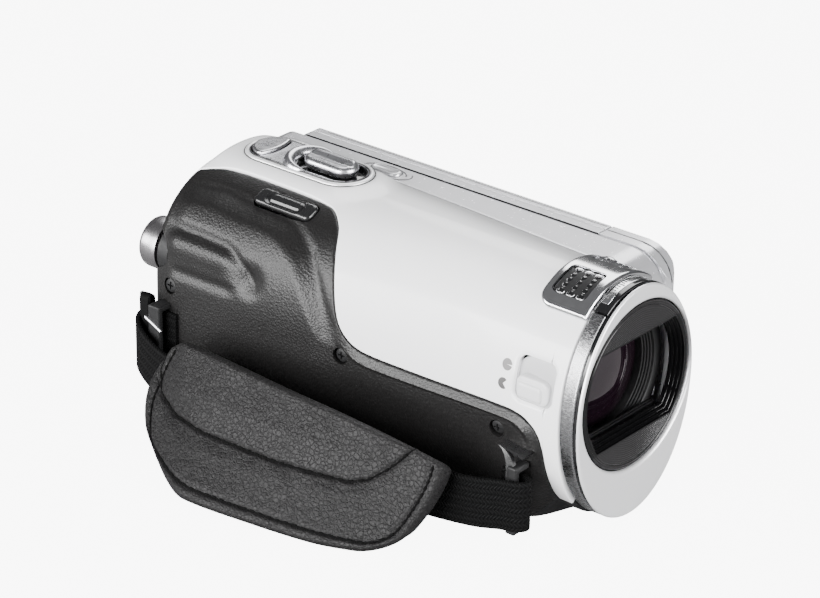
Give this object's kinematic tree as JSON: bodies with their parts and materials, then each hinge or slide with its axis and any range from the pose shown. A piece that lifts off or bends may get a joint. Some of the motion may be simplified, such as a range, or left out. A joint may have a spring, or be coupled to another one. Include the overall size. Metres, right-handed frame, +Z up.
{
  "type": "camcorder",
  "caption": "Pocket camcorder with a shuttered lens, side grip with padded hand strap, top zoom rocker and a screen that swings out and tilts",
  "frame": {"origin": "on the base plane, under the middle of the whole object's box", "axes": "+Z up, -Y the way the lens looks, +X towards the folding screen, -X towards the hand strap"},
  "size_m": [0.0874, 0.1246, 0.0592],
  "materials": {
    "battery_grey": "moulded battery case",
    "bezel_silver": "satin bright silver paint",
    "board_green": "solder mask",
    "card_blue": "memory card shell",
    "chrome": "bright plated",
    "gloss_black": "polished black",
    "grip_black": "leather-grained charcoal moulding",
    "gunmetal": "brushed dark metal",
    "leather": "grained dark grey leather with dark stitching",
    "lens_glass": "coated optical glass",
    "matte_black": "fine matte black",
    "pearl_white": "glossy pearl white paint under clear coat",
    "ring_metal": "fine textured silver metal",
    "rubber": "soft black rubber",
    "screen_glass": "dark display glass",
    "sensor_dark": "dark ceramic package",
    "silver_paint": "smooth silver paint",
    "steel": "plain sheet steel",
    "webbing": "woven black nylon webbing"
  },
  "bodies": {
    "camera": {"anchor_front": "matte_black", "anchor_rear": "matte_black", "av_socket": "steel", "battery_pack": "battery_grey", "bottom_cover": "matte_black", "card_socket": "steel", "control_plate": "chrome", "front_bezel": "bezel_silver", "front_lens": "lens_glass", "front_ring": "ring_metal", "grip_cover": "grip_black", "grip_screw_front": "gunmetal", "grip_screw_middle": "gunmetal", "grip_screw_rear": "gunmetal", "groove_ring": "gloss_black", "guide_rod_left": "steel", "guide_rod_right": "steel", "hinge_bracket": "steel", "hinge_pin": "steel", "image_sensor": "sensor_dark", "inner_frame": "steel", "lens_barrel": "matte_black", "lens_shield": "gloss_black", "lever_base": "gloss_black", "main_board": "board_green", "memory_card": "card_blue", "mic_band": "gloss_black", "mic_capsule_left": "steel", "mic_capsule_right": "steel", "mic_cover": "chrome", "mic_grille_left": "matte_black", "mic_grille_right": "matte_black", "rear_cover": "silver_paint", "record_sleeve": "gloss_black", "side_cover": "silver_paint", "speaker": "matte_black", "strap_pad": "leather", "strap_web": "webbing", "switch_tray": "pearl_white", "top_cover": "pearl_white", "tripod_bush": "steel"},
    "screen_arm": {"screen_arm": "silver_paint", "screen_shaft": "steel"},
    "screen_panel": {"screen_cover": "silver_paint", "screen_frame": "matte_black", "screen_display": "screen_glass"},
    "lens_slider": {"lens_switch": "pearl_white"},
    "upper_front_leaf": {"shutter_upper_front": "matte_black"},
    "upper_rear_leaf": {"shutter_upper_rear": "matte_black"},
    "lower_front_leaf": {"shutter_lower_front": "matte_black"},
    "lower_rear_leaf": {"shutter_lower_rear": "matte_black"},
    "zoom_rocker": {"zoom_lever": "chrome"},
    "mode_key": {"mode_button": "gunmetal"},
    "photo_key": {"photo_button": "silver_paint"},
    "record_key": {"record_button": "gunmetal"},
    "power_key": {"power_button": "silver_paint"},
    "jack_flap": {"jack_cover": "rubber"},
    "battery_lid": {"battery_door": "matte_black"},
    "zoom_carriage": {"zoom_lens_group": "matte_black"}
  },
  "joints": [
    {"name": "screen_swing", "type": "hinge", "parent": "camera", "child": "screen_arm", "pos_m": [0.04113, -0.0507, 0.0309], "axis": [0, 0, -1], "range_deg": [0, 90]},
    {"name": "screen_tilt", "type": "hinge", "parent": "screen_arm", "child": "screen_panel", "pos_m": [0.04113, -0.0346, 0.0309], "axis": [0, 1, 0], "range_deg": [0, 45]},
    {"name": "lens_switch_slide", "type": "slide", "parent": "camera", "child": "lens_slider", "axis": [0, 0, 1], "range_m": [0, 0.0035]},
    {"name": "upper_front_leaf_slide", "type": "slide", "parent": "camera", "child": "upper_front_leaf", "axis": [0, 0, -1], "range_m": [0, 0.0098]},
    {"name": "upper_rear_leaf_slide", "type": "slide", "parent": "camera", "child": "upper_rear_leaf", "axis": [0, 0, -1], "range_m": [0, 0.0049]},
    {"name": "lower_front_leaf_slide", "type": "slide", "parent": "camera", "child": "lower_front_leaf", "axis": [0, 0, 1], "range_m": [0, 0.0098]},
    {"name": "lower_rear_leaf_slide", "type": "slide", "parent": "camera", "child": "lower_rear_leaf", "axis": [0, 0, 1], "range_m": [0, 0.0049]},
    {"name": "zoom_lever_slide", "type": "slide", "parent": "camera", "child": "zoom_rocker", "axis": [0, 1, 0], "range_m": [-0.0015, 0.0015], "stiffness_N_per_m": 400},
    {"name": "mode_press", "type": "slide", "parent": "camera", "child": "mode_key", "axis": [0, 0, -1], "range_m": [0, 0.0008], "stiffness_N_per_m": 1200, "springref_m": -0.0002},
    {"name": "photo_press", "type": "slide", "parent": "camera", "child": "photo_key", "axis": [0, 0, -1], "range_m": [0, 0.0005], "stiffness_N_per_m": 1500, "springref_m": -0.0002},
    {"name": "record_press", "type": "slide", "parent": "camera", "child": "record_key", "axis": [0, -1, 0], "range_m": [0, 0.0009], "stiffness_N_per_m": 1200, "springref_m": -0.0002},
    {"name": "power_press", "type": "slide", "parent": "camera", "child": "power_key", "axis": [-1, 0, 0], "range_m": [0, 0.0005], "stiffness_N_per_m": 1500, "springref_m": -0.0002},
    {"name": "jack_flap_hinge", "type": "hinge", "parent": "camera", "child": "jack_flap", "pos_m": [0.00187, 0.0279, 0.0523], "axis": [0, -1, 0], "range_deg": [0, 90]},
    {"name": "battery_door_hinge", "type": "hinge", "parent": "camera", "child": "battery_lid", "pos_m": [0.03118, 0.0197, 0], "axis": [0, -1, 0], "range_deg": [0, 95]},
    {"name": "zoom_group_slide", "type": "slide", "parent": "camera", "child": "zoom_carriage", "axis": [0, 1, 0], "range_m": [-0.015, 0.02]}
  ],
  "couplings": [
    {"joint": "screen_tilt", "follows": "screen_swing", "ratio": 0.5},
    {"joint": "upper_front_leaf_slide", "follows": "lens_switch_slide", "ratio": 2.8},
    {"joint": "lower_front_leaf_slide", "follows": "lens_switch_slide", "ratio": 2.8},
    {"joint": "upper_rear_leaf_slide", "follows": "lens_switch_slide", "ratio": 1.4},
    {"joint": "lower_rear_leaf_slide", "follows": "lens_switch_slide", "ratio": 1.4}
  ]
}
